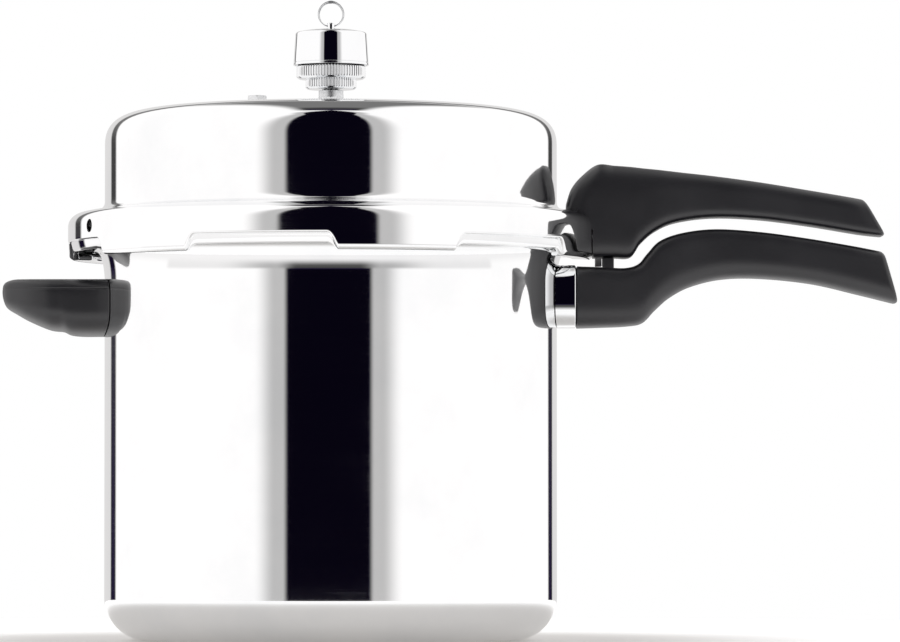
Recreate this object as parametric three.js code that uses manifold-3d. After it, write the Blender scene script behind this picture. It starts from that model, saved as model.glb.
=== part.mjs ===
// A stovetop pressure cooker with an outer bayonet lid, as an assembly of separate pieces.
// Millimetres, +Z up. The origin is the centre of the pan's base, and the long handles point along +X.
import * as THREE from "three";
import { ParametricGeometry } from "three/addons/geometries/ParametricGeometry.js";
import { mergeVertices } from "three/addons/utils/BufferGeometryUtils.js";
import Module from "manifold-3d";

const wasm = await Module();
wasm.setup();

// ---------------------------------------------------------------- driving dimensions
const GAP = 0.3; // air between pieces that touch on the real object
const ROUND_STEPS = 72; // facets around the pan and the lid
const SMALL_STEPS = 32; // facets around the small turned pieces

const PAN_R = 110; // outside of the pan's wall
const PAN_WALL = 3.2;
const PAN_BASE = 5;
const PAN_CORNER = 21; // radius between base and wall
const FLARE_Z = 174; // where the wall starts to flare towards the rim
const RIM_Z = 191.6; // top of the rim flange, which the seal presses on
const RIM_T = 3;
const RIM_R = 116; // the flange between the lugs
const PAN_LUG_R = 121.8; // the flange at the lugs

const LID_WALL = 2.6;
const DOME_R = 110; // outside of the lid's upper wall
const LID_TOP = 261.2;
const CROWN_R = 1159; // radius of the shallow crown on the lid's top
const CROWN_EDGE = 82; // where the crown turns into the shoulder
const BAND_R = 127.8; // outside of the lid's lower band
const BAND_BEND = 5; // radius of the turned-in lower edge between the lugs
const LUG_BEND = 3; // and at the lugs
const LUG_Z = 185.1; // underside of the lid's lugs
const LID_LUG_R = 117; // how far in the lid's lugs reach
const SCALLOP_Z = 188.3; // underside of the edge between the lugs
const SCALLOP_R = 123;

const LUGS = 6;
const LUG_ANGLE = -14.4; // where the first lug is centred, from +X
const PAN_LUG_ENDS = [8, 11]; // where a lug starts and ends to run out, in degrees from its middle
const LID_LUG_ENDS = [10, 13];
const SCALLOP_ENDS = [13, 15.5]; // beyond its lug's ends, the lid's lower edge rises
const PAN_OFFSETS = [-30, -25, -20, -15.5, -11, -8, -4, 0, 4, 8, 11, 15.5, 20, 25];
const LID_OFFSETS = [-30, -24.5, -19.5, -15.5, -13, -10, -5, 0, 5, 10, 13, 15.5, 19.5, 24.5];

const VENT_R = 3.4; // the vent pipe inside the weight
const VENT_TOP = 286;
const VENT_BORE = 1.1;
const SEAT_Z = 267.8; // top of the vent pipe's shoulder
const PLUG_X = -36; // the safety plug's place on the lid
const WEIGHT_Z = 268.2; // underside of the weight
const CAP_Z = 279.9;
const CAP_TOP = 297.8;
const RING_Z = 298.9; // the hole that the lifting ring hangs in
const RING_R = 6;
const WIRE_R = 0.75;

const deg = THREE.MathUtils.degToRad;

// ---------------------------------------------------------------- materials
const finish = (color, roughness, metalness) =>
  new THREE.MeshStandardMaterial({ color, roughness, metalness });
const polishedAluminium = finish(0xdcdde0, 0.12, 1);
const chrome = finish(0xe6e8ea, 0.06, 1);
const plainSteel = finish(0xb4b6b8, 0.35, 1);
const brass = finish(0xc7a45c, 0.35, 1);
const blackResin = finish(0x1b1b1e, 0.55, 0);
const sealRubber = finish(0x3a3b3d, 0.8, 0);
const fusibleAlloy = finish(0x8f9296, 0.5, 1);

// ---------------------------------------------------------------- solids
// A closed geometry as a manifold-3d solid with its faces turned outwards.
function solid(geometry) {
  const bare = geometry.clone();
  bare.deleteAttribute("normal");
  bare.deleteAttribute("uv");
  const merged = mergeVertices(bare, 1e-4);
  const index = merged.index.array;
  const corners = [];
  for (let i = 0; i < index.length; i += 3) {
    const [a, b, c] = index.subarray(i, i + 3);
    if (a !== b && b !== c && c !== a) corners.push(a, b, c);
  }
  const make = (list) =>
    new wasm.Manifold(
      new wasm.Mesh({
        numProp: 3,
        vertProperties: merged.attributes.position.array,
        triVerts: new Uint32Array(list),
      }),
    );
  const made = make(corners);
  return made.volume() > 0 ? made : make(corners.reverse());
}

// A manifold-3d solid as a three.js geometry.
function geometryOf(body) {
  const { vertProperties, triVerts, numProp } = body.getMesh();
  const positions = new Float32Array(triVerts.length * 3);
  triVerts.forEach((vertex, i) => {
    const at = vertex * numProp;
    positions.set(vertProperties.subarray(at, at + 3), i * 3);
  });
  const geometry = new THREE.BufferGeometry();
  geometry.setAttribute("position", new THREE.BufferAttribute(positions, 3));
  geometry.computeVertexNormals();
  return geometry;
}

// A profile of [radius, height] points turned about +Z. It starts and ends on the axis, or closes on itself.
function turned(profile, steps = SMALL_STEPS) {
  const onAxis = profile[0][0] === 0;
  const loop = onAxis ? profile : [...profile, profile[0]];
  const points = loop.map(([r, z]) => new THREE.Vector2(r, z));
  return solid(new THREE.LatheGeometry(points, steps).rotateX(Math.PI / 2));
}

// A section that changes with the angle, carried round +Z. sectionAt(degrees) gives its [radius, height] points.
function turnedSection(sectionAt, angles) {
  const sections = angles.map(sectionAt);
  const steps = angles.length;
  const count = sections[0].length;
  const closes = sections[0][0][0] !== 0;
  const rows = closes ? count : count - 1;
  const place = (u, v, target) => {
    const i = Math.round(u * steps) % steps;
    const [r, z] = sections[i][Math.round(v * rows) % count];
    const angle = deg(angles[i]);
    target.set(r * Math.cos(angle), r * Math.sin(angle), z);
  };
  return solid(new ParametricGeometry(place, steps, rows));
}

// Points on an arc of a profile, angles in degrees from the outward direction.
function arc(r, z, radius, from, to, steps) {
  return Array.from({ length: steps + 1 }, (_, i) => {
    const angle = deg(from + ((to - from) * i) / steps);
    return [r + radius * Math.cos(angle), z + radius * Math.sin(angle)];
  });
}

// Points on a cubic curve of a profile.
function bend(a, b, c, d, steps) {
  const curve = new THREE.CubicBezierCurve(...[a, b, c, d].map(([r, z]) => new THREE.Vector2(r, z)));
  return curve.getPoints(steps).map((p) => [p.x, p.y]);
}

const box = (x0, x1, y0, y1, z0, z1) =>
  solid(
    new THREE.BoxGeometry(x1 - x0, y1 - y0, z1 - z0).translate(
      (x0 + x1) / 2,
      (y0 + y1) / 2,
      (z0 + z1) / 2,
    ),
  );

const rod = (radius, z0, z1, x = 0, sides = SMALL_STEPS) =>
  solid(
    new THREE.CylinderGeometry(radius, radius, z1 - z0, sides)
      .rotateX(Math.PI / 2)
      .translate(x, 0, (z0 + z1) / 2),
  );

// A hexagon rod with this distance across its flats.
const hexRod = (flats, z0, z1, x = 0) => rod(flats / Math.sqrt(3), z0, z1, x, 6);

// Part of a ring between two radii, centred on an angle from +X.
function ringSector(r0, r1, centre, half, z0, z1) {
  const shape = new THREE.Shape();
  const from = deg(centre - half);
  const to = deg(centre + half);
  shape.absarc(0, 0, r1, from, to, false);
  shape.absarc(0, 0, r0, to, from, true);
  shape.closePath();
  const options = { depth: z1 - z0, bevelEnabled: false, curveSegments: 10 };
  return solid(new THREE.ExtrudeGeometry(shape, options).translate(0, 0, z0));
}

// A solid turned about +Z and then moved outwards along the turned +X, for pieces set on the round wall.
const about = (body, angle) => body.rotate([0, 0, angle]);

// Angles right round, given as offsets from each lug's middle.
const anglesAt = (offsets) =>
  Array.from({ length: LUGS }, (_, i) => offsets.map((o) => LUG_ANGLE + (i * 360) / LUGS + o)).flat();

// 1 up to the inner offset from the nearest lug's middle, and 0 from the outer offset on.
function lugShare(angle, [inner, outer]) {
  const pitch = 360 / LUGS;
  const from = angle - LUG_ANGLE + pitch / 2;
  const away = Math.abs((((from % pitch) + pitch) % pitch) - pitch / 2);
  return 1 - THREE.MathUtils.clamp((away - inner) / (outer - inner), 0, 1);
}

const between = (a, b, share) => a + (b - a) * share;

// ---------------------------------------------------------------- pan
// The drawn pan: a flat thick base, a straight wall, a flared neck and a rim flange with six lugs.
function panShell() {
  const insideR = PAN_R - PAN_WALL;
  const centre = PAN_R - PAN_CORNER;
  const underRim = RIM_Z - RIM_T;
  const edge = 0.8; // rounding of the flange's edge
  return turnedSection((angle) => {
    const reach = between(RIM_R, PAN_LUG_R, lugShare(angle, PAN_LUG_ENDS));
    return [
      [0, 0],
      ...arc(centre, PAN_CORNER, PAN_CORNER, -90, 0, 5),
      ...bend([PAN_R, FLARE_Z], [PAN_R, 181], [111.6, underRim], [114.3, underRim], 4),
      [reach - edge, underRim],
      [reach, underRim + edge],
      [reach, RIM_Z - edge],
      [reach - edge, RIM_Z],
      ...bend([112, RIM_Z], [109, RIM_Z], [insideR, 187], [insideR, 180], 3),
      ...arc(centre, PAN_BASE + PAN_CORNER - PAN_WALL, PAN_CORNER - PAN_WALL, 0, -90, 4),
      [0, PAN_BASE],
    ];
  }, anglesAt(PAN_OFFSETS));
}

// What the pan fills below its rim, grown a little, for cutting the pieces that sit against its wall.
function panEnvelope() {
  const wall = PAN_R + GAP;
  const neck = bend([wall, FLARE_Z], [wall, 181], [112, 188], [115, 188], 4);
  return turned([[0, 120], [wall, 120], ...neck, [0, 188]], ROUND_STEPS);
}

// ---------------------------------------------------------------- lid
// The crown of the lid's top, measured down from a given height.
const crown = (r, top) => top - (r * r) / (2 * CROWN_R);

// The pressed lid: crown, shoulder, upper wall, ledge and band, whose turned-in edge carries six lugs.
function lidSection(angle) {
  const lowShare = lugShare(angle, SCALLOP_ENDS);
  const low = between(SCALLOP_Z, LUG_Z, lowShare);
  const corner = between(BAND_BEND, LUG_BEND, lowShare);
  const tip = between(SCALLOP_R, LID_LUG_R, lugShare(angle, LID_LUG_ENDS));
  const insideTop = LID_TOP - LID_WALL;
  const domeIn = DOME_R - LID_WALL;
  const bandIn = BAND_R - LID_WALL;
  const hole = 5;
  return [
    ...[hole, 45, CROWN_EDGE].map((r) => [r, crown(r, LID_TOP)]),
    ...bend([CROWN_EDGE, 258.3], [99, 257.2], [DOME_R, 254], [DOME_R, 241], 5).slice(1),
    ...arc(114, 212.9, 4, 180, 270, 2),
    ...bend([120.5, 207.7], [125, 206.9], [BAND_R, 204.4], [BAND_R, 200.5], 3),
    ...arc(BAND_R - corner, low + corner, corner, 0, -90, 3),
    [tip, low],
    [tip, low + LID_WALL],
    ...arc(BAND_R - corner, low + corner, corner - LID_WALL, -80, 0, 2),
    ...bend([bandIn, 200.5], [bandIn, 203], [123.6, 204.4], [120.2, 205.1], 2),
    ...arc(114, 212.9, 4 + LID_WALL, 270, 180, 2),
    ...bend([domeIn, 241], [domeIn, 252], [97.5, 254.6], [CROWN_EDGE, 255.6], 4),
    ...[45, hole].map((r) => [r, crown(r, insideTop)]),
  ];
}

// What the lid fills up to its outside, grown a little, for cutting the pieces that sit against it.
function lidEnvelope() {
  const grown = [
    [0, LUG_Z - 20],
    [BAND_R + GAP, LUG_Z - 20],
    ...bend([BAND_R + GAP, 200.5], [BAND_R + GAP, 204.6], [125.1, 207.2], [120.6, 208], 3),
    [114.2, 209.2],
    ...arc(114, 212.9, 4 - GAP, 250, 180, 2),
    [DOME_R + GAP, LID_TOP],
    [0, LID_TOP],
  ];
  return turned(grown, ROUND_STEPS);
}

// Rivets through the lid's band hold its bracket.
const LID_RIVETS = [-4.93, 4.93];
const LID_RIVET_Z = 196.5;
const RELEASE_ANGLE = -153.5; // the round window in the band that the seal can escape through
const RELEASE_R = 3.2;

// A rod that lies along the radius at an angle and a height.
function radialRod(radius, r0, r1, angle, z) {
  const geometry = new THREE.CylinderGeometry(radius, radius, r1 - r0, 20)
    .rotateZ(Math.PI / 2)
    .translate((r0 + r1) / 2, 0, z);
  return about(solid(geometry), angle);
}

function lidShell() {
  let shell = turnedSection(lidSection, anglesAt(LID_OFFSETS));
  const reach = [DOME_R, BAND_R + 4];
  for (const angle of LID_RIVETS) shell = shell.subtract(radialRod(2.3, ...reach, angle, LID_RIVET_Z));
  shell = shell.subtract(radialRod(RELEASE_R, ...reach, RELEASE_ANGLE, 199.2));
  return shell.subtract(rod(3.9, 250, 270, PLUG_X, 24));
}

// The rubber sealing ring: a channel section open towards the steam, in the lid's band.
function seal() {
  return turned(
    [
      [111.2, 191.9],
      [124.2, 191.9],
      [124.2, 200.2],
      [121.4, 203.9],
      [112.2, 204.3],
      [111.7, 202.6],
      [118.4, 200.4],
      [119.4, 198],
      [118.4, 195.8],
      [111.4, 193.9],
    ],
    ROUND_STEPS,
  );
}

// ---------------------------------------------------------------- rivets, screws and nuts
// A round-headed rivet along the radius: its heads lie inside and outside of what it holds.
function rivet(r0, r1, angle, z, { shank, head, inner, outer }) {
  const profile = [
    [0, r0 - inner],
    [head * 0.7, r0 - inner * 0.8],
    [head, r0],
    [shank, r0],
    [shank, r1],
    [head * 0.9, r1],
    [head * 0.6, r1 + outer * 0.8],
    [0, r1 + outer],
  ];
  const points = profile.map(([r, x]) => new THREE.Vector2(r, x));
  const geometry = new THREE.LatheGeometry(points, 16).rotateZ(-Math.PI / 2).translate(0, 0, z);
  return about(solid(geometry), angle);
}

// A screw that goes in from below: a round head with a cross slot, and a shank.
function screw(x, headZ, headT, headR, shankR, top) {
  const slot = box(x - headR, x + headR, -0.5, 0.5, headZ - 1, headZ + 1);
  return rod(headR, headZ, headZ + headT, x, 20)
    .add(rod(shankR, headZ + headT / 2, top, x, 16))
    .subtract(slot);
}

const squareNut = (x, half, z0, z1, hole) =>
  box(x - half, x + half, -half, half, z0, z1).subtract(rod(hole, z0 - 1, z1 + 1, x, 16));

const washer = (r0, r1, z0, z1, x = 0) =>
  rod(r1, z0, z1, x, 24).subtract(rod(r0, z0 - 1, z1 + 1, x, 24));

const hexNut = (flats, hole, z0, z1, x = 0) =>
  hexRod(flats, z0, z1, x).subtract(rod(hole, z0 - 1, z1 + 1, x, 24));

// ---------------------------------------------------------------- grips
// A moulded grip as a loft. Each station gives its top point, its bottom point and half its width:
// [topX, topZ, bottomX, bottomZ, halfWidth]. The section is a rounded box, squarer where its power is higher.
function grip(stations, { topPower, bottomPower, steps = 26, sides = 16 }) {
  const tops = new THREE.CatmullRomCurve3(
    stations.map(([x, z, , , w]) => new THREE.Vector3(x, w, z)),
    false,
    "catmullrom",
  );
  const bottoms = new THREE.CatmullRomCurve3(
    stations.map(([, , x, z]) => new THREE.Vector3(x, 0, z)),
    false,
    "catmullrom",
  );
  const boxed = (value, power) => Math.sign(value) * Math.abs(value) ** (2 / power);
  const place = (u, v, target) => {
    const row = Math.round(u * (steps + 2)) - 1;
    const t = THREE.MathUtils.clamp(row / steps, 0, 1);
    const size = row < 0 || row > steps ? 0 : 1; // the first and last rows close the ends
    const top = tops.getPoint(t);
    const bottom = bottoms.getPoint(t);
    const angle = (2 * Math.PI * (Math.round(v * sides) % sides)) / sides;
    const power = Math.sin(angle) > 0 ? topPower : bottomPower;
    const up = size * boxed(Math.sin(angle), power);
    const across = size * boxed(Math.cos(angle), power);
    target.set(
      (top.x + bottom.x) / 2 + (up * (top.x - bottom.x)) / 2,
      across * top.y,
      (top.z + bottom.z) / 2 + (up * (top.z - bottom.z)) / 2,
    );
  };
  return solid(new ParametricGeometry(place, steps + 2, sides));
}

const LID_GRIP = [
  [114.6, 212.5, 114.6, 185.9, 14],
  [117, 219.5, 117, 185.9, 15.2],
  [122, 225.6, 122, 185.9, 16],
  [129.7, 231.2, 130, 185.9, 16],
  [138, 230.8, 138, 185.9, 16],
  [146, 230.2, 145.8, 186.3, 16],
  [152, 229.5, 150.6, 192.7, 15.8],
  [160, 228.7, 157.7, 198.8, 15.5],
  [171, 227.4, 168, 203.2, 15],
  [187, 225.6, 186, 205.5, 14.5],
  [209, 222.6, 209, 204.6, 14.5],
  [231, 219, 234, 201.4, 14.8],
  [250, 215.8, 257, 197.6, 15],
  [259.2, 214.1, 269.6, 196.2, 14],
];

const PAN_GRIP = [
  [119.5, 181.6, 119.5, 151.6, 16.4],
  [132, 181.2, 132, 152, 16.3],
  [143, 180.8, 144, 152.6, 16],
  [149.5, 182.8, 151.6, 154.2, 15.8],
  [154, 188, 157.7, 160.3, 15.6],
  [160, 194, 165, 166.6, 15.3],
  [171, 197.9, 175, 171.8, 15],
  [186.9, 199.7, 190, 175.4, 14.6],
  [208, 198.4, 209, 175.8, 14.6],
  [231, 195.3, 234, 173.2, 14.9],
  [253, 191.6, 257, 167.9, 15.2],
  [268.6, 188.6, 275.9, 163.2, 14.2],
];

const SIDE_GRIP = [
  [-104, 175.2, -104, 147.6, 30],
  [-112, 175.2, -112, 147.6, 28.6],
  [-120.5, 175.2, -120.5, 147.6, 28],
  [-127, 175.2, -126.2, 148.2, 27.8],
  [-131, 175.2, -130, 149.8, 27.6],
  [-138, 175.2, -136.5, 150.7, 27],
  [-147, 175.2, -146, 154.6, 24.5],
  [-153.5, 175, -152.5, 158.2, 20.8],
  [-157.6, 173.6, -156.8, 160.9, 17],
  [-159.4, 171, -158.9, 164.2, 13],
];

// ---------------------------------------------------------------- lid handle
const LID_SCREW_X = 141.6;
const STOP_X = [131.9, 137.5]; // the stop lug on the pan's grip and the foot above it

function lidGrip() {
  return grip(LID_GRIP, { topPower: 4, bottomPower: 7 })
    .add(box(...STOP_X, -8.7, -3, 181.6, 188))
    .subtract(lidEnvelope())
    .subtract(ringSector(120, 132.2, 0, 7.2, 180, 206.5))
    .subtract(box(128, 132.2, -5.5, 5.5, 180, 203.4))
    .subtract(box(128, 150.4, -7.4, 7.4, 196.6, 203.4))
    .subtract(rod(4.1, 180, 189.8, LID_SCREW_X, 20))
    .subtract(rod(2.8, 185, 206, LID_SCREW_X, 16));
}

// Bent from one strip: a plate against the band, a tongue inside the grip and a leg that shows below it.
function lidBracket() {
  let bracket = ringSector(BAND_R + GAP, 130.3, 0, 6.5, 190, 205.5)
    .add(box(128.6, 131.7, -5, 5, 181.9, 199.5))
    .add(box(129.2, 149.8, -7, 7, 197, 199.5))
    .subtract(rod(2.7, 190, 210, LID_SCREW_X, 16));
  for (const angle of LID_RIVETS) bracket = bracket.subtract(radialRod(2.3, 120, 134, angle, LID_RIVET_Z));
  return bracket;
}

// ---------------------------------------------------------------- pan handle
const PAN_SCREW_X = 140;
const PAN_RIVETS = [
  [-5.4, 174],
  [5.4, 174],
  [0, 159.6],
];
const panHole = (angle, z) => radialRod(2.5, PAN_R - 8, PAN_R + 8, angle, z);

// A saddle plate against the pan's wall with a tongue that runs out into the grip.
function panBracket() {
  let bracket = ringSector(PAN_R + GAP, PAN_R + 2.3, 0, 6.8, 156.6, 177.4)
    .add(box(PAN_R + 1.6, 148.5, -6, 6, 164.5, 168.5))
    .subtract(rod(2.7, 160, 172, PAN_SCREW_X, 16));
  for (const [angle, z] of PAN_RIVETS) bracket = bracket.subtract(panHole(angle, z));
  return bracket;
}

// The bright sleeve between the pan's wall and the grip.
function panFerrule() {
  const sleeve = (inset) =>
    grip(
      [
        [104, 182.2 - inset, 104, 151.8 + inset, 16.8 - inset],
        [112, 182.2 - inset, 112, 151.8 + inset, 16.8 - inset],
        [119.2 + inset, 182.1 - inset, 119.2 + inset, 151.9 + inset, 16.7 - inset],
      ],
      { topPower: 6, bottomPower: 3.4, steps: 4, sides: 24 },
    );
  return sleeve(0).subtract(sleeve(1.3)).subtract(panEnvelope());
}

function panGrip() {
  return grip(PAN_GRIP, { topPower: 7, bottomPower: 3.4 })
    .add(box(...STOP_X, -13, -9, 178, 185.5))
    .subtract(box(118, 149, -6.4, 6.4, 164.1, 173))
    .subtract(rod(4.4, 148, 156.6, PAN_SCREW_X, 20))
    .subtract(rod(2.8, 150, 176, PAN_SCREW_X, 16));
}

// ---------------------------------------------------------------- side handle
const SIDE_SCREW_X = -126;
const SIDE_RIVETS = [
  [180 - 5.6, 160.8],
  [180 + 5.6, 160.8],
];

function sideBracket() {
  let bracket = ringSector(PAN_R + GAP, PAN_R + 2.3, 180, 8.4, 154.6, 171)
    .add(box(-134.4, -PAN_R - 1.6, -7, 7, 165.4, 168))
    .subtract(rod(2.7, 160, 172, SIDE_SCREW_X, 16));
  for (const [angle, z] of SIDE_RIVETS) bracket = bracket.subtract(panHole(angle, z));
  return bracket;
}

function sideGrip() {
  return grip(SIDE_GRIP, { topPower: 6, bottomPower: 2.8, steps: 20, sides: 24 })
    .subtract(panEnvelope())
    .subtract(ringSector(105, PAN_R + 4.2, 180, 9, 154.2, 171.4))
    .subtract(box(-134.8, -PAN_R, -7.4, 7.4, 165, 172.2))
    .subtract(rod(4.4, 140, 153.4, SIDE_SCREW_X, 20))
    .subtract(rod(2.8, 150, 172.5, SIDE_SCREW_X, 16));
}

// ---------------------------------------------------------------- vent pipe and safety plug
// The vent pipe stands in the middle of the lid: a threaded shank, a hexagon, a shoulder and the nozzle.
function ventPipe() {
  return turned(
    [
      [VENT_BORE, 249.6],
      [4.4, 249.6],
      [4.4, LID_TOP + 1],
      [6, LID_TOP + 1],
      [6, SEAT_Z],
      [VENT_R, SEAT_Z],
      [VENT_R, VENT_TOP - 1.4],
      [2.2, VENT_TOP],
      [VENT_BORE, VENT_TOP],
    ],
    24,
  ).add(hexRod(12, LID_TOP + GAP, 264.4).subtract(rod(3, 255, 270)));
}

const plugTop = crown(-PLUG_X, LID_TOP) + GAP;

// A hexagon-headed bolt with a bore, closed by a plug of fusible alloy.
function plugBody() {
  return hexRod(9, plugTop, 265.2, PLUG_X)
    .add(rod(3.6, 250.6, plugTop + 1, PLUG_X, 20))
    .subtract(rod(2.1, 249, 267, PLUG_X, 16));
}

// ---------------------------------------------------------------- weight
// The heavy core of the weight, with its two gripping collars and the bore that drops over the vent pipe.
function weightCore() {
  return turned([
    [4.3, WEIGHT_Z],
    [11.6, WEIGHT_Z],
    [12.4, 269],
    [12.4, 273.2],
    [16, 273.2],
    [16.8, 274],
    [16.8, CAP_Z - GAP],
    [15.9, CAP_Z - GAP],
    [15.4, 295.3],
    [1.7, 295.3],
    [1.7, 292.1],
    [4.3, 292.1],
    [4.3, 271.8],
    [5.4, 271.8],
    [5.4, 270.2],
    [4.3, 270.2],
  ]);
}

// The plated cap over the core.
function weightCap() {
  return turned([
    [17.3, CAP_Z],
    [18.4, CAP_Z],
    [17.3, 294.2],
    ...arc(14.8, 294.5, 2.5, 0, 90, 3),
    [1.7, CAP_TOP],
    [1.7, 295.6],
    [15.8, 295.6],
    [16.2, 294],
  ]);
}

// The post on top of the weight, drilled across for the ring.
function weightPost() {
  const crossHole = new THREE.CylinderGeometry(1.35, 1.35, 12, 16)
    .rotateZ(Math.PI / 2)
    .translate(0, 0, RING_Z);
  return turned(
    [
      [0, 292.6],
      [1.4, 292.6],
      [1.4, CAP_TOP + GAP],
      [2.1, CAP_TOP + GAP],
      [2.1, 300.2],
      [1.6, 300.7],
      [0, 300.7],
    ],
    24,
  ).subtract(solid(crossHole));
}

const liftingRing = () =>
  solid(new THREE.TorusGeometry(RING_R, WIRE_R, 8, 28).rotateX(Math.PI / 2).translate(0, 0, RING_Z + RING_R));

// The pin that closes the nozzle from above.
function valvePin() {
  return turned(
    [
      [0, 285.2],
      [0.8, 286],
      [2.4, 287.6],
      [3.6, 288.4],
      [3.6, 291.5],
      [3.2, 291.8],
      [0, 291.8],
    ],
    24,
  );
}

// An open spring ring in the core's groove.
const springClip = () =>
  solid(new THREE.TorusGeometry(4.65, 0.5, 8, 24).translate(0, 0, 271)).subtract(
    box(2, 8, -1.6, 1.6, 269, 273),
  );

// ---------------------------------------------------------------- assembly
const cooker = new THREE.Group();

function add(name, body, material) {
  const mesh = new THREE.Mesh(geometryOf(body), material);
  mesh.name = name;
  cooker.add(mesh);
}

let pan = panShell();
for (const [angle, z] of [...PAN_RIVETS, ...SIDE_RIVETS]) pan = pan.subtract(panHole(angle, z));
add("pan_shell", pan, polishedAluminium);

const wallRivet = { shank: 2.2, head: 4.4, inner: 1.3, outer: 1.2 };
const insideWall = PAN_R - PAN_WALL - GAP;
const outsidePlate = PAN_R + 2.3 + GAP;
PAN_RIVETS.forEach(([angle, z], i) => {
  add(`pan_handle_rivet_${i + 1}`, rivet(insideWall, outsidePlate, angle, z, wallRivet), plainSteel);
});
SIDE_RIVETS.forEach(([angle, z], i) => {
  add(`side_handle_rivet_${i + 1}`, rivet(insideWall, outsidePlate, angle, z, wallRivet), plainSteel);
});

add("pan_handle_bracket", panBracket(), plainSteel);
add("pan_handle_ferrule", panFerrule(), chrome);
add("pan_handle_grip", panGrip(), blackResin);
add("pan_handle_screw", screw(PAN_SCREW_X, 153.5, 2.8, 4, 2.4, 175), plainSteel);
add("pan_handle_nut", squareNut(PAN_SCREW_X, 4.6, 168.8, 172.4, 2.6), plainSteel);

add("side_handle_bracket", sideBracket(), plainSteel);
add("side_handle_grip", sideGrip(), blackResin);
add("side_handle_screw", screw(SIDE_SCREW_X, 150.4, 2.8, 4, 2.4, 172), plainSteel);
add("side_handle_nut", squareNut(SIDE_SCREW_X, 4.6, 168.3, 171.7, 2.6), plainSteel);

add("lid_shell", lidShell(), polishedAluminium);
add("lid_handle_bracket", lidBracket(), plainSteel);
LID_RIVETS.forEach((angle, i) => {
  const size = { shank: 2, head: 3.4, inner: 0.4, outer: 1.1 };
  add(`lid_handle_rivet_${i + 1}`, rivet(124.9, 130.6, angle, LID_RIVET_Z, size), plainSteel);
});
add("lid_handle_grip", lidGrip(), blackResin);
add("lid_handle_screw", screw(LID_SCREW_X, 186.7, 2.8, 3.8, 2.4, 205), plainSteel);
add("lid_handle_nut", squareNut(LID_SCREW_X, 4.6, 199.8, 203.1, 2.6), plainSteel);

add("sealing_ring", seal(), sealRubber);

const underLid = LID_TOP - LID_WALL - GAP;
add("vent_pipe", ventPipe(), chrome);
add("vent_pipe_washer", washer(4.8, 8.6, underLid - 1.5, underLid), sealRubber);
add("vent_pipe_nut", hexNut(14, 4.8, underLid - 6.6, underLid - 1.8), brass);

const underPlug = crown(-PLUG_X, LID_TOP - LID_WALL) - GAP - 0.2;
add("safety_plug_body", plugBody(), chrome);
add("safety_plug_core", rod(1.8, 251, 264.9, PLUG_X, 16), fusibleAlloy);
add("safety_plug_washer", washer(3.9, 6.4, underPlug - 1.3, underPlug, PLUG_X), sealRubber);
add("safety_plug_nut", hexNut(10, 3.9, underPlug - 5.6, underPlug - 1.6, PLUG_X), brass);

add("weight_core", weightCore(), chrome);
add("weight_cap", weightCap(), chrome);
add("weight_post", weightPost(), chrome);
add("weight_spring_clip", springClip(), plainSteel);
add("weight_pin", valvePin(), plainSteel);
add("lifting_ring", liftingRing(), chrome);

export default cooker;
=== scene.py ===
# %% [markdown]
# # A stovetop pressure cooker
# The cooker is a drawn aluminium pan under an outer lid that turns on six lugs. Its metal is polished
# to a mirror, so its look is the look of the room in it: two big white screens with a dark gap between them.
# The CAD model gives every piece its place. This script makes the fine surfaces, the finishes and the room.
# Profiles are written in millimetres, and each mesh is stored in metres.

# %% Load the frame
import bmesh
import bpy
import numpy as np
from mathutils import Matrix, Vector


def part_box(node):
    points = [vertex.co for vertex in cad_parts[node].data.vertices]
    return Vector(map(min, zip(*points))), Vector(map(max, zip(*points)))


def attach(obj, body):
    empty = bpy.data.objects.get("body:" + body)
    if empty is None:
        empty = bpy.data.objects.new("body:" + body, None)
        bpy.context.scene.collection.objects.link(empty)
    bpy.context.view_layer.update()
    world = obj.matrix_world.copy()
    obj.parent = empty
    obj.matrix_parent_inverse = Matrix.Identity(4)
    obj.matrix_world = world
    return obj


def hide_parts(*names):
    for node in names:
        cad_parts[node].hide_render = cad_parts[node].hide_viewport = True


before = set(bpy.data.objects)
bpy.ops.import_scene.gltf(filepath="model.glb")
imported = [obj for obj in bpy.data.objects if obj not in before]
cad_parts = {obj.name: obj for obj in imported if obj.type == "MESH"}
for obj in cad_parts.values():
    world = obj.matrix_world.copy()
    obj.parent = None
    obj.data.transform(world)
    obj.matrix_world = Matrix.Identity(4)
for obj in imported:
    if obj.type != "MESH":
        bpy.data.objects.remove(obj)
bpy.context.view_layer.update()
MM = 0.001
TURN = 2 * np.pi
CREASE = 32  # degrees: edges sharper than this stay sharp

# %% [markdown]
# ## Surfaces from grids
# A pressed or turned piece could be sculpted, or made from a lathe tool, but here every surface is a grid of
# points worked out at once. The same few lines then make a pan, a screw or a wire. A grid that closes both
# ways, or that shrinks to a point at its ends, is a closed body, and its volume tells which way it faces.


# %% A mesh from one or more grids
def faces_of(grid, loop_rows, first):
    """Four-sided faces between neighbouring rows and columns. Columns join up; rows join when asked."""
    rows, columns = grid.shape[:2]
    number = first + np.arange(rows * columns).reshape(rows, columns)
    if loop_rows:
        number = np.vstack([number, number[:1]])
    number = np.hstack([number, number[:, :1]])
    corners = [number[:-1, :-1], number[:-1, 1:], number[1:, 1:], number[1:, :-1]]
    faces = np.stack(corners, axis=-1).reshape(-1, 4)
    return faces


def facing_out(points, faces):
    """The faces, turned round if their body has a negative volume: a sum of corner triple products."""
    a, b, c, d = (points[faces[:, i]] for i in range(4))
    volume = np.einsum("ij,ij->", a, np.cross(b, c)) + np.einsum("ij,ij->", a, np.cross(c, d))
    return faces if volume > 0 else faces[:, ::-1]


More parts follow.
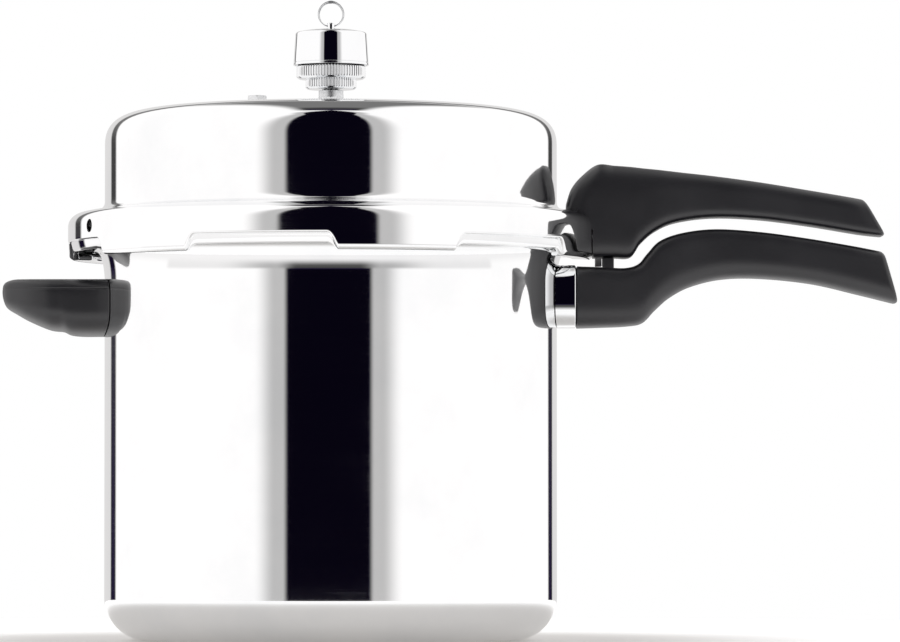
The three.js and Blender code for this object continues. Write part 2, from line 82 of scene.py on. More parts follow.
def surface(name, grids, loop_rows=False, inner=None, crease=CREASE):
    """One mesh from closed grids of points in millimetres. inner is 0 to 1 along the rows, for the finish."""
    grids = grids if isinstance(grids, list) else [grids]
    points, faces = [], []
    for grid in grids:
        flat = grid.reshape(-1, 3)
        made = facing_out(flat, faces_of(grid, loop_rows, 0))
        faces.append(made + sum(len(p) for p in points))
        points.append(flat)
    mesh = bpy.data.meshes.new(name)
    mesh.from_pydata((np.concatenate(points) * MM).tolist(), [], np.concatenate(faces).tolist())
    if inner is not None:
        layer = mesh.attributes.new("inner", "FLOAT", "POINT")
        layer.data.foreach_set("value", np.repeat(inner, grids[0].shape[1]).astype(np.float32))
    return finished_mesh(name, mesh, crease)


def finished_mesh(name, mesh, crease):
    """An object whose doubled points are merged, smooth but for edges sharper than the crease angle."""
    work = bmesh.new()
    work.from_mesh(mesh)
    bmesh.ops.remove_doubles(work, verts=work.verts, dist=2e-6)
    bmesh.ops.dissolve_degenerate(work, edges=work.edges, dist=1e-7)
    work.to_mesh(mesh)
    work.free()
    mesh.shade_smooth()
    mesh.set_sharp_from_angle(angle=np.radians(crease))
    piece = bpy.data.objects.new(name, mesh)
    bpy.context.scene.collection.objects.link(piece)
    return piece


# %% Bore a hole
def bored(piece, middle, way, radius, reach):
    """A round hole along a unit vector. The cutter is a ring carried along it, closed at its ends."""
    aside = np.cross(way, (0, 0, 1))
    above = np.cross(aside, way)
    turn = np.radians(np.arange(0, 360, 7.5))[:, None]
    ring = radius * (np.cos(turn) * aside + np.sin(turn) * above)
    spine = np.array(middle) + np.outer([-reach, -reach, reach, reach], way)
    cutter = surface("bore", spine[:, None] + np.array([0, 1, 1, 0])[:, None, None] * ring)
    cut = piece.modifiers.new("bore", "BOOLEAN")
    cut.object, cut.operation, cut.solver = cutter, "DIFFERENCE", "EXACT"
    whole, settled = piece.data, bpy.context.evaluated_depsgraph_get()
    piece.data = bpy.data.meshes.new_from_object(piece.evaluated_get(settled))
    piece.modifiers.clear()
    piece.data.set_sharp_from_angle(angle=np.radians(CREASE))
    bpy.data.objects.remove(cutter)
    bpy.data.meshes.remove(whole)
    print("hole of", radius, "mm in", piece.name, "now", len(piece.data.polygons), "faces")


# %% [markdown]
# ## Profiles
# A metal spinner or a lathe hand thinks in profiles: a line of radius and height. Straight stretches need
# only their ends, and round ones come from an arc or from a cubic curve. No edge on a real pressed or
# turned piece is razor sharp, so eased() replaces each corner by a short curve that catches the light.


# %% Lines, arcs and eased corners
def arc(r, z, radius, start, stop, count=12):
    """Points of a circle's arc about (r, z), with angles in degrees from the outward direction."""
    angle = np.radians(np.linspace(start, stop, count))
    return np.stack([r + radius * np.cos(angle), z + radius * np.sin(angle)], axis=1)


def bend(a, b, c, d, count=12):
    """Points of a cubic Bezier curve from a to d, drawn towards b and c."""
    t = np.linspace(0, 1, count)[:, None]
    a, b, c, d = (np.array(p, float) for p in (a, b, c, d))
    return (1 - t) ** 3 * a + 3 * (1 - t) ** 2 * t * b + 3 * (1 - t) * t**2 * c + t**3 * d


def line(a, b, count=2):
    """Points at even steps on a straight line."""
    return np.linspace(np.array(a, float), np.array(b, float), count)


def eased(corners, ease, loop=False, count=5):
    """Each corner becomes a quadratic curve that starts and ends at most ease away from it."""
    corners = np.array(corners, float)
    before, after = np.roll(corners, 1, axis=0), np.roll(corners, -1, axis=0)
    parts = []
    for i, (p, here, q) in enumerate(zip(before, corners, after)):
        if not loop and i in (0, len(corners) - 1):
            parts.append(here[None])
            continue
        to_p, to_q = p - here, q - here
        reach = min(ease, 0.45 * np.linalg.norm(to_p), 0.45 * np.linalg.norm(to_q))
        start = here + to_p / np.linalg.norm(to_p) * reach
        stop = here + to_q / np.linalg.norm(to_q) * reach
        t = np.linspace(0, 1, count)[:, None]
        parts.append((1 - t) ** 2 * start + 2 * (1 - t) * t * here + t**2 * stop)
    return np.concatenate(parts)


# %% Carry a profile round an axis
def round_axis(radius, height, columns):
    """Points (radius cos a, radius sin a, height) at every angle a: so many of them, or a list in degrees."""
    even = np.linspace(0, TURN, columns, endpoint=False) if np.isscalar(columns) else None
    angle = np.radians(columns) if even is None else even
    radius, height = np.broadcast_arrays(radius, height)
    radius = radius if radius.ndim == 2 else radius[:, None]
    height = height if height.ndim == 2 else height[:, None]
    return np.stack(
        [radius * np.cos(angle), radius * np.sin(angle), height + 0 * angle],
        axis=-1,
    )


def revolved(profile, columns=96):
    """A profile of radius and height turned about +Z."""
    return round_axis(profile[:, 0], profile[:, 1], columns)


def smooth_step(value, low, high):
    """0 below low, 1 above high, and an S-shaped ease between them."""
    t = np.clip((value - low) / (high - low), 0, 1)
    return t * t * (3 - 2 * t)


# %% [markdown]
# ## Shader maths as expressions
# A finish can be wired by hand in the node editor, but a formula is easier to read. Signal wraps one socket,
# so that mask * 0.3 + 0.1 adds the maths nodes by itself. Everything else comes from its node method.


# %% The Signal class
class Signal:
    """One output socket of a node tree, which takes part in expressions."""

    def __init__(self, tree, socket=None):
        self.tree = tree
        self.socket = socket

    def node(self, kind, inputs, output=0, **settings):
        """Adds a node: its settings first, then a value or a Signal for each named or numbered input."""
        made = self.tree.nodes.new(kind)
        for key, value in settings.items():
            setattr(made, key, value)
        for key, value in inputs.items():
            if isinstance(value, Signal):
                self.tree.links.new(value.socket, made.inputs[key])
            else:
                made.inputs[key].default_value = value
        return Signal(self.tree, made.outputs[output] if len(made.outputs) else None)

    def maths(self, operation, *values):
        return self.node("ShaderNodeMath", dict(enumerate(values)), operation=operation)

    def __add__(self, other):
        return self.maths("ADD", self, other)

    def __sub__(self, other):
        return self.maths("SUBTRACT", self, other)

    def __rsub__(self, other):
        return self.maths("SUBTRACT", other, self)

    def __mul__(self, other):
        return self.maths("MULTIPLY", self, other)

    __radd__ = __add__
    __rmul__ = __mul__

    def eased_between(self, low, high):
        """0 below low, 1 above high, with an S-shaped ease."""
        return self.node(
            "ShaderNodeMapRange",
            {"Value": self, "From Min": low, "From Max": high},
            interpolation_type="SMOOTHSTEP",
        )

    def part(self, axis):
        return self.node("ShaderNodeSeparateXYZ", {0: self}, output=axis)


# %% Shared ingredients of a finish
class Finish:
    """A material with its shader, the object's own coordinates, and noise of a chosen size."""

    def __init__(self, name, **constants):
        self.material = bpy.data.materials.new(name)
        self.material.use_nodes = True
        self.tree = self.material.node_tree
        self.shader = self.tree.nodes["Principled BSDF"]
        self.any = Signal(self.tree)
        self.place = self.any.node("ShaderNodeTexCoord", {}, output="Object")
        self.x, self.y, self.z = (self.place.part(i) for i in range(3))
        for socket, value in constants.items():
            self.shader.inputs[socket.replace("_", " ")].default_value = value

    def radius(self):
        """Distance from the cooker's axis, in metres."""
        return self.any.maths("SQRT", self.x * self.x + self.y * self.y)

    def noise(self, size, detail=3, stretch=(1, 1, 1), roughness=0.55):
        """Noise whose features are about size metres, longer along an axis whose stretch is smaller."""
        scaled = self.any.node(
            "ShaderNodeMapping", {"Vector": self.place, "Scale": tuple(s / size for s in stretch)}
        )
        settings = {"Vector": scaled, "Scale": 1.0, "Detail": detail, "Roughness": roughness}
        return self.any.node("ShaderNodeTexNoise", settings)

    def lathe_lines(self, size):
        """Noise that changes quickly along a turned profile and slowly round it, like polishing marks."""
        fine, slow = 1 / size, 9.0
        across = self.radius() * fine + self.x * slow
        along = self.z * fine + self.y * slow
        vector = self.any.node("ShaderNodeCombineXYZ", {0: across, 1: along})
        return self.any.node("ShaderNodeTexNoise", {"Vector": vector, "Scale": 1.0, "Detail": 2.0})

    def tint(self, dark, light, amount):
        """A colour that runs from dark to light as amount goes from 0 to 1."""
        return self.any.node(
            "ShaderNodeMix",
            {0: amount, 6: (*dark, 1), 7: (*light, 1)},
            output=2,
            data_type="RGBA",
        )

    def feed(self, **signals):
        for socket, signal in signals.items():
            self.tree.links.new(signal.socket, self.shader.inputs[socket.replace("_", " ")])
        return self

    def bump(self, height, depth, strength=1.0):
        """Bends the surface's direction by a height of up to depth metres."""
        settings = {"Height": height, "Distance": depth, "Strength": strength}
        return self.feed(Normal=self.any.node("ShaderNodeBump", settings))



# %% [markdown]
# ## Polished aluminium and chrome
# A mirror finish could be left a plain metal, but real polish shows: fine lines left by the mop as the piece
# turned, and faint wiped patches. Both follow the lathe's direction, so the noise is read along the profile.
# The inside of the pan and lid is only satin, which the surface tells through its "inner" attribute. Under
# the base a lathe leaves coarser rings, a wave of the radius about 1 mm long.


# %% Metal finishes
def polished_metal(name, colour, dull, mirror=0.035, satin=0.3):
    """A mirror whose roughness rises in polishing lines and wiped patches, and satin where inner is 1."""
    made = Finish(name, Metallic=1.0)
    lines = made.lathe_lines(0.0007)
    patches = made.noise(0.05, detail=4)
    inside = made.any.node("ShaderNodeAttribute", {}, output="Fac", attribute_name="inner")
    worn = lines.eased_between(0.45, 0.8) * 0.035 + patches.eased_between(0.5, 0.75) * 0.03
    under = 1 - made.z.eased_between(0.0003, 0.0009)
    rings = made.any.maths("SINE", made.radius() * (TURN / 0.0011))
    rough = worn + mirror + inside * (satin - mirror) + under * (rings * 0.05 + 0.26)
    grain = made.lathe_lines(0.0012)
    return made.feed(
        Roughness=rough,
        Base_Color=made.tint(dull, colour, patches.eased_between(0.25, 0.6) * (1 - inside * 0.6)),
    ).bump(grain * (inside * 0.9 + 0.02) + rings * under * 0.5, 0.00006, 0.5)


aluminium = polished_metal("polished_aluminium_finish", (0.91, 0.915, 0.92), (0.86, 0.87, 0.88))
chrome = polished_metal("bright_chrome_finish", (0.88, 0.89, 0.9), (0.84, 0.85, 0.86), mirror=0.02)
print("polished finishes:", aluminium.material.name, chrome.material.name)

# %% [markdown]
# ## Plain steel, brass and the fusible plug
# Brackets, rivets and nuts are bought in or stamped and never polished. Steel gets fine drawn scratches,
# brass warms and dulls in patches, and the plug's alloy, which melts if the cooker boils dry, is cast matt.


# %% Workshop metals
def stamped_metal(name, light, dark, rough, stretch):
    """A dull metal with scratches along one axis and darker handled patches."""
    made = Finish(name, Metallic=1.0)
    scratches = made.noise(0.0006, detail=2, stretch=stretch)
    patches = made.noise(0.006, detail=4)
    return made.feed(
        Base_Color=made.tint(dark, light, patches.eased_between(0.3, 0.65)),
        Roughness=scratches * 0.18 + patches * 0.1 + (rough - 0.12),
    ).bump(scratches, 0.00002, 0.6)


brushed = polished_metal("brushed_nickel_finish", (0.82, 0.83, 0.84), (0.7, 0.71, 0.72), mirror=0.42)
steel = stamped_metal("plain_steel_finish", (0.66, 0.67, 0.68), (0.5, 0.5, 0.5), 0.32, (1, 1, 0.08))
brass = stamped_metal("plain_brass_finish", (0.78, 0.62, 0.33), (0.55, 0.41, 0.2), 0.34, (0.1, 0.1, 1))
alloy = stamped_metal("fusible_alloy_finish", (0.55, 0.56, 0.58), (0.4, 0.41, 0.42), 0.55, (1, 1, 1))

# %% [markdown]
# ## Black phenolic resin and rubber
# The grips are pressed from phenolic powder, which comes out of the mould with a fine, even orange peel and
# a satin that handling polishes in places. The seal is softer: matt, with a bloom of paler patches.


# %% Moulded finishes
def moulded(name, dark, pale, rough, peel, depth, ior=1.5):
    """A moulded surface: an even peel in the bump, and a colour and gloss that drift with handling."""
    made = Finish(name, IOR=ior)
    fine = made.noise(peel, detail=2)
    handled = made.noise(0.03, detail=3)
    specks = made.noise(0.0009, detail=1)
    return made.feed(
        Base_Color=made.tint(dark, pale, handled * 0.7 + specks.eased_between(0.62, 0.78) * 0.3),
        Roughness=handled * 0.16 + fine * 0.08 + (rough - 0.12),
    ).bump(fine, depth, 0.7)


resin = moulded(
    "black_resin_finish", (0.008, 0.0078, 0.0105), (0.0145, 0.014, 0.019), 0.4, 0.0007, 0.00004, 1.65
)
rubber = moulded("seal_rubber_finish", (0.02, 0.02, 0.021), (0.05, 0.05, 0.052), 0.72, 0.0012, 0.00003)


# %% Finish a piece
def hand_over(piece, body, finish, slot, *nodes):
    """Gives a piece its finish, ties it to a body and lets it stand for CAD nodes."""
    piece.data.materials.append(finish.material)
    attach(piece, body)
    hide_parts(*nodes)
    print(piece.name, len(piece.data.polygons), "faces")
    return piece


# %% [markdown]
# ## The lugs
# Six lugs on the pan's rim turn under six on the lid, and the lid's lower edge rises between its lugs.
# Both could be cut from a plain flange, but a pressed edge runs out smoothly. So a lug is a share, 1 in its
# middle and 0 beyond its ends, and the share moves the section of the metal from one shape to the other.

# %% Where the lugs are
LUGS = 6
LUG_ANGLE = -14.4
PAN_LUG_ENDS = (8, 11)
LID_LUG_ENDS = (10, 13)
SCALLOP_ENDS = (13.1, 15.3)
SCALLOP_POWER = 0.8  # under 1 makes the corner between lugs start more steeply
RELEASE_ANGLE, RELEASE_Z, RELEASE_R = -153.5, 199.2, 3.2


def lug_columns(wide, close):
    """Angles round the cooker in degrees: close together where the lugs run out, wide apart elsewhere."""
    stretches = [(-30, -17.5, wide), (-17.5, -7, close), (-7, 7, wide), (7, 17.5, close), (17.5, 30, wide)]
    pitch = np.concatenate([np.linspace(a, b, n, endpoint=False) for a, b, n in stretches])
    return (LUG_ANGLE + pitch + 60 * np.arange(LUGS)[:, None]).ravel()


def lug_share(angle, ends, eased=True):
    """1 up to the first angle from a lug's middle, 0 from the second on, with an S-shaped ease if asked."""
    pitch = 360 / LUGS
    painted_shadow_radius = np.abs((angle - LUG_ANGLE + pitch / 2) % pitch - pitch / 2)
    straight = np.clip((painted_shadow_radius - ends[0]) / (ends[1] - ends[0]), 0, 1)
    return 1 - (smooth_step(painted_shadow_radius, *ends) if eased else straight)


def morphed(base, *changes):
    """Radius and height at every angle: the base profile plus each change's difference times its share."""
    made = [base[:, i, None] + 0 * changes[0][1] for i in (0, 1)]
    for profile, share in changes:
        for i in (0, 1):
            made[i] = made[i] + (profile - base)[:, i, None] * share
    return made


# %% [markdown]
# ## The pan
# The pan is drawn from one disc of aluminium: a thick flat base, a straight wall, a flared neck, and a rim
# flange that the seal presses on. A lathe shape alone would miss the lugs, so the section changes as it goes
# round. Outside it is polished; inside it keeps the satin of the drawing tool.

# %% Pan dimensions
PAN_R = 110
PAN_CORNER = 21
PAN_IN = 106.8
RIM_LOW = 188.6
RIM_TOP = 191.6


def pan_profile(reach):
    """Outside from the axis to the rim, the rim's edge out to reach, then inside back to the axis."""
    outside = np.concatenate(
        [
            line((0, 0), (PAN_R - PAN_CORNER - 1, 0), 10),
            arc(PAN_R - PAN_CORNER, PAN_CORNER, PAN_CORNER, -90, 0, 36),
            line((PAN_R, 30), (PAN_R, 172), 8),
            bend((PAN_R, 174), (PAN_R, 181), (111.6, RIM_LOW), (114.3, RIM_LOW), 16),
            arc(reach - 0.9, RIM_LOW + 0.9, 0.9, -90, 0, 6),
            arc(reach - 0.9, RIM_TOP - 0.9, 0.9, 0, 90, 6),
        ]
    )
    inside = np.concatenate(
        [
            bend((112, RIM_TOP), (109, RIM_TOP), (PAN_IN, 187), (PAN_IN, 180), 14),
            line((PAN_IN, 172), (PAN_IN, 26), 8),
            arc(PAN_IN - 17.8, 22.8, 17.8, 0, -90, 24),
            line((80, 5), (0, 5), 8),
        ]
    )
    return outside, inside


# %% Make the pan
columns = lug_columns(12, 28)
outside, inside = pan_profile(116)
lug_outside, lug_inside = pan_profile(121.8)
radius, height = morphed(
    np.concatenate([outside, inside]),
    (np.concatenate([lug_outside, lug_inside]), lug_share(columns, PAN_LUG_ENDS)),
)
inner = np.concatenate([np.zeros(len(outside)), smooth_step(np.arange(len(inside)), 1, 8)])
pan = surface("pan_drawn", round_axis(radius, height, columns), inner=inner)
hand_over(pan, "pan", aluminium, "polished_aluminium", "pan_shell")

# %% [markdown]
# ## The lid
# The lid is one pressing too: a shallow crown, a rounded shoulder, an upper wall, a ledge and a wide band.
# Its lower edge turns in. At the lugs it stays low and reaches far in; between them it rises in a step with
# rounded corners, and the sheet slopes down and in, so the edge is stiff and safe to hold. The band also has
# one round window, through which the seal can bulge if the pressure runs too high. It is cut by a Boolean,
# because a grid of points has no simple place for a hole.

# %% Lid dimensions
LID_WALL = 2.6
DOME_R = 110
LID_TOP = 261.2
CROWN_R = 1159
CROWN_EDGE = 82
BAND_R = 127.8
VENT_HOLE = 4.6


def crown(top, start, stop, count):
    """The shallow crown: height falls from top by the radius squared over twice the crown's radius."""
    r = np.linspace(start, stop, count)
    return np.stack([r, top - r**2 / (2 * CROWN_R)], axis=1)


def lid_upper():
    """From the vent hole over the crown and shoulder, down the wall and ledge to the top of the band."""
    return np.concatenate(
        [
            crown(LID_TOP, VENT_HOLE, CROWN_EDGE, 9),
            bend((CROWN_EDGE, 258.3), (99, 257.2), (DOME_R, 254), (DOME_R, 241), 22)[1:],
            line((DOME_R, 236), (DOME_R, 215), 3),
            arc(114, 212.9, 4, 180, 262, 12),
            bend((120.5, 207.7), (125, 206.9), (BAND_R, 204.4), (BAND_R, 200.5), 14),
        ]
    )


def lid_inside():
    """The same sheet from inside, one thickness away, from the band back up to the vent hole."""
    band_in, dome_in = BAND_R - LID_WALL, DOME_R - LID_WALL
    return np.concatenate(
        [
            bend((band_in, 200.5), (band_in, 203), (123.6, 204.4), (120.2, 205.1), 8),
            arc(114, 212.9, 4 + LID_WALL, 262, 180, 8),
            line((dome_in, 218), (dome_in, 238), 4),
            bend((dome_in, 241), (dome_in, 252), (97.5, 254.6), (CROWN_EDGE, 255.6), 14),
            crown(LID_TOP - LID_WALL, CROWN_EDGE - 4, VENT_HOLE, 6),
        ]
    )


def lug_edge(tip):
    """The band's edge at a lug: straight down, a small corner, a flange in to tip, and back up inside."""
    return np.concatenate(
        [
            line((BAND_R, 199), (BAND_R, 189), 10),
            arc(BAND_R - 2.6, 187.7, 2.6, 0, -62, 8),
            arc(BAND_R - 2.6, 187.7, 2.6, -66, -78, 5),
            line((BAND_R - 2.6, 185.1), (tip + 3, 185.1), 14),
            arc(tip + 0.9, 186, 0.9, 270, 180, 6),
            arc(tip + 0.9, 186.8, 0.9, 180, 90, 6),
            arc(BAND_R - 4.2, 189.4, 1.6, -84, 0, 8),
            line((BAND_R - LID_WALL, 191.5), (BAND_R - LID_WALL, 199), 6),
        ]
    )


def scallop_edge(tip):
    """The edge between lugs: a rounded brim, a step in, a face sloping down and in, a flange in to tip."""
    return np.concatenate(
        [
            line((BAND_R, 199), (BAND_R, 194.6), 10),
            arc(BAND_R - 1, 194, 1, 0, -80, 8),
            bend((BAND_R - 1, 193), (BAND_R - 1.7, 193), (BAND_R - 1.7, 193), (BAND_R - 1.5, 192.6), 5),
            bend(
                (BAND_R - 1.55, 192.3),
                (BAND_R - 1.9, 191.2),
                (BAND_R - 2.2, 188.3),
                (BAND_R - 3.4, 188.25),
                14,
            ),
            arc(tip + 0.9, 189.2, 0.9, 270, 180, 6),
            arc(tip + 0.9, 190, 0.9, 180, 90, 6),
            arc(BAND_R - 4.2, 192.4, 1.6, -84, 0, 8),
            line((BAND_R - LID_WALL, 194.5), (BAND_R - LID_WALL, 199), 6),
        ]
    )


def rising_edge(angle):
    """1 at a lug, falling to 0 between lugs along a rounded corner: steep first, then level like a sine."""
    painted_shadow_radius = 1 - lug_share(angle, SCALLOP_ENDS, eased=False)
    return 1 - np.sin(painted_shadow_radius * np.pi / 2) ** SCALLOP_POWER


# %% Make the lid
columns = lug_columns(12, 30)
around = [
    np.concatenate([lid_upper(), edge(tip), lid_inside()])
    for edge, tip in ((scallop_edge, 123), (lug_edge, 123), (scallop_edge, 117))
]
radius, height = morphed(
    around[0],
    (around[1], rising_edge(columns)),
    (around[2], lug_share(columns, LID_LUG_ENDS)),
)
edge_rows = len(lug_edge(123))
turned_in = len(lid_upper()) + edge_rows - 16
inner = smooth_step(np.arange(len(around[0])), turned_in, turned_in + 8)
lid = surface("lid_pressed", round_axis(radius, height, columns), loop_rows=True, inner=inner)
window = np.array([np.cos(np.radians(RELEASE_ANGLE)), np.sin(np.radians(RELEASE_ANGLE)), 0])
bored(lid, window * BAND_R + (0, 0, RELEASE_Z), window, RELEASE_R, 7)
hand_over(lid, "lid", aluminium, "polished_aluminium", "lid_shell")

# %% [markdown]
# ## The sealing ring
# A channel of rubber sits in the band, open towards the steam, so that pressure pushes its lips against the
# pan's rim and the lid. It is a plain turned profile with soft corners, and only shows when the lid is off.

# %% Make the seal
seal_profile = eased(
    [
        (111.2, 191.9),
        (124.2, 191.9),
        (124.2, 200.2),
        (121.4, 203.9),
        (112.2, 204.3),
        (111.7, 202.6),
        (118.4, 200.4),
        (119.4, 198),
        (118.4, 195.8),
        (111.4, 193.9),
    ],
    1.0,
    loop=True,
)
seal = surface("seal_moulded", revolved(seal_profile, 360), loop_rows=True, crease=60)
hand_over(seal, "seal", rubber, "seal_rubber", "sealing_ring")

# %% [markdown]
# ## The weight
# The weight is turned, not pressed: a heavy core with two knurled collars to grip it by, under a plated cap.
# A knurl rolled on a lathe is a row of round ridges with narrow valleys, so the radius loses depth times
# (1 - |sin|) to a power: the higher the power, the narrower the valley.

# %% Weight dimensions
WEIGHT_Z = 268.2
CAP_Z = 279.9
LOWER_RIDGES = 56
UPPER_RIDGES = 70
KNURL_DEPTH = 0.65
VALLEY_POWER = 1.7


def knurled(profile, columns, collars):
    """The profile turned round, less the knurl on each collar: (low height, high height, radius, ridges)."""
    angle = np.linspace(0, TURN, columns, endpoint=False)
    radius, height = profile[:, :1] + 0 * angle, profile[:, 1:] + 0 * angle
    for low, high, collar, ridges in collars:
        on_collar = (height > low) & (height < high) * (radius > collar - 0.3)
        valley = (1 - np.abs(np.sin(ridges * angle / 2))) ** VALLEY_POWER
        radius = radius - on_collar * KNURL_DEPTH * valley
    return round_axis(radius, height, columns)


# %% Make the weight's core and cap
core_profile = np.concatenate(
    [
        eased([(4.3, 271), (4.3, WEIGHT_Z), (11.4, WEIGHT_Z), (12.4, 269.1)], 0.3),
        line((12.4, 269.3), (12.4, 272.7), 6),
        eased([(12.2, 273.1), (15.6, 273.2), (16.8, 274.1)], 0.3),
        line((16.8, 274.3), (16.8, 279.1), 6),
        eased([(16.5, 279.5), (15.9, 279.6), (15.4, 295.3), (1.7, 295.3), (1.7, 292.1), (4.3, 292.1)], 0.3),
    ]
)
collars = [(269.2, 272.9, 12.4, LOWER_RIDGES), (274.2, 279.3, 16.8, UPPER_RIDGES)]
core = surface("weight_core_turned", knurled(core_profile, 560, collars), loop_rows=True, crease=50)
hand_over(core, "weight", chrome, "bright_chrome", "weight_core")

cap_profile = np.concatenate(
    [
        eased([(17.3, CAP_Z), (18.4, CAP_Z), (18.32, 280.9), (18.0, 281.15), (18.25, 281.4)], 0.35),
        line((18.2, 281.8), (17.4, 294.2), 6),
        arc(16.0, 294.8, 1.4, 4, 72, 10),
        bend((15.9, 296.3), (12, 297.2), (7, 297.7), (1.9, 297.8), 16),
        eased([(1.7, 297.7), (1.7, 295.6), (15.8, 295.6), (16.2, 294)], 0.3),
    ]
)
cap = surface("weight_cap_plated", revolved(cap_profile, 288), loop_rows=True)
hand_over(cap, "weight", chrome, "bright_chrome", "weight_cap")

# %% [markdown]
# ## The lifting ring
# The ring is wound from two turns of spring wire like a key ring. The turns lie side by side at the bottom,
# where the post holds them, and one inside the other at the top. One closed curve does both: going round
# twice, its radius swings out and in by a cosine of half the angle, and its place across by a sine of it.


# %% Carry a round section along a closed curve
def wire(path, thickness, sides=16):
    """Points on a circle about each point of a closed path, square to the path's direction there."""
    ahead = np.roll(path, -1, axis=0) - np.roll(path, 1, axis=0)
    ahead = ahead / np.linalg.norm(ahead, axis=1, keepdims=True)
    side = np.cross(ahead, np.array([0, 1.0, 0]))
    side = side / np.linalg.norm(side, axis=1, keepdims=True)
    up = np.cross(side, ahead)
    angle = np.linspace(0, TURN, sides, endpoint=False)[None, :, None]
    return path[:, None] + thickness * (np.cos(angle) * side[:, None] + np.sin(angle) * up[:, None])


RING_Z = 298.9
RING_R = 6
WIRE_R = 0.36
turn = np.linspace(0, 2 * TURN, 384, endpoint=False)
out = RING_R + 0.37 * np.cos(turn / 2)
ring_path = np.stack(
    [out * np.sin(turn), 0.38 * np.sin(turn / 2), RING_Z + RING_R + out * np.cos(turn)],
    axis=1,
)
ring = surface("lifting_ring_wound", wire(ring_path, WIRE_R), loop_rows=True, crease=80)
hand_over(ring, "ring", chrome, "bright_chrome", "lifting_ring")

# %% [markdown]
# ## Hexagons
# The vent pipe's root and the safety plug's head are hexagons with their corners turned off. In a lathe's
# eyes a hexagon is a radius that changes with the angle: the flat's distance over the cosine of the angle
# from the flat's middle. The smaller of that and the turned radius gives the chamfered corner by itself.


# %% Turn a profile that is a hexagon in places
def hexagonal(profile, flats, low, high, columns=144):
    """The profile turned round, and between two heights no wider than a hexagon of that size across flats."""
    angle = np.linspace(0, TURN, columns, endpoint=False)
    from_flat = (angle + TURN / 12) % (TURN / 6) - TURN / 12
    hexagon = flats / 2 / np.cos(from_flat)
    radius, height = profile[:, :1] + 0 * angle, profile[:, 1:] + 0 * angle
    in_hexagon = (height >= low) & (height <= high)
    radius = np.where(in_hexagon, np.minimum(radius, hexagon), radius)
    return round_axis(radius, height, columns)


# %% Make the vent pipe and the safety plug
vent_profile = np.concatenate(
    [
        eased([(1.1, 270), (1.1, 249.6), (4.4, 249.6), (4.4, 261.4)], 0.3),
        line((4.5, 261.5), (6.6, 261.5)),
        line((6.93, 261.8), (6.93, 264.0), 4),
        line((6.5, 264.3), (6.05, 264.45)),
        eased([(6, 264.6), (6, 267.7), (3.4, 267.8), (3.4, 284.6), (2.2, 286), (1.1, 286)], 0.4),
    ]
)
vent = surface("vent_pipe_turned", hexagonal(vent_profile, 12, 261.5, 264.4), loop_rows=True, crease=28)
hand_over(vent, "lid", brushed, "bright_chrome", "vent_pipe")

PLUG_X = -36
plug_low, plug_high = (corner[2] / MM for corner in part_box("safety_plug_body"))
head_low = LID_TOP - PLUG_X**2 / (2 * CROWN_R) + 0.3
plug_profile = np.concatenate(
    [
        eased([(2.1, 263), (2.1, plug_low), (3.6, plug_low), (3.6, head_low - 0.1)], 0.3),
        line((3.7, head_low), (4.9, head_low)),
        line((5.19, head_low + 0.3), (5.19, plug_high - 0.7), 3),
        line((4.4, plug_high - 0.1), (4.2, plug_high)),
        line((2.3, plug_high), (2.1, plug_high - 0.2)),
    ]
)
plug_points = hexagonal(plug_profile, 9, head_low, plug_high) + np.array([PLUG_X, 0, 0])
plug = surface("safety_plug_turned", plug_points, loop_rows=True, crease=28)
hand_over(plug, "lid", brushed, "bright_chrome", "safety_plug_body")

# %% [markdown]
# ## The grips
# Each grip is a pressed moulding that changes section all the way along. It could be modelled as a box and
# rounded, but its two outlines are what the eye follows. So a grip is a loft between stations: at each, a
# top point, a bottom point and half a width. Smooth curves run through the stations, and the section between
# them is a rounded box: a circle's sine and cosine raised to a small power, flatter where the power is less.


# %% Loft a grip
def through(stations, place):
    """A Catmull-Rom curve: cubic stretches that leave each station along the line between its neighbours."""
    s = np.array(stations, float)
    s = np.vstack([2 * s[0] - s[1], s, 2 * s[-1] - s[-2]])
    at = np.clip(place, 0, 1) * (len(stations) - 1)
    i = np.minimum(at.astype(int), len(stations) - 2)
    f = (at - i)[:, None]
    lean, lean_next = (s[i + 2] - s[i]) / 2, (s[i + 3] - s[i + 1]) / 2
    start = (2 * f**3 - 3 * f**2 + 1) * s[i + 1] + (f**3 - 2 * f**2 + f) * lean
    return start + (3 * f**2 - 2 * f**3) * s[i + 2] + (f**3 - f**2) * lean_next


def rounded_ends(rows, length, root, tip):
    """Places along a loft from 0 to 1, and how far the section draws in there, to round its ends."""
    quarter = np.linspace(0, np.pi / 2, 9)
    root_at = root * (1 - np.cos(quarter)) / length
    tip_at = 1 - tip * (1 - np.sin(quarter)) / length
    middle = np.linspace(root_at[-1], tip_at[0], rows)[1:-1]
    place = np.concatenate([[0], root_at, middle, tip_at, [1]])
    inset = np.concatenate(
        [[np.inf], root * (1 - np.sin(quarter)), 0 * middle, tip * (1 - np.cos(quarter)), [np.inf]]
    )
    return place, inset


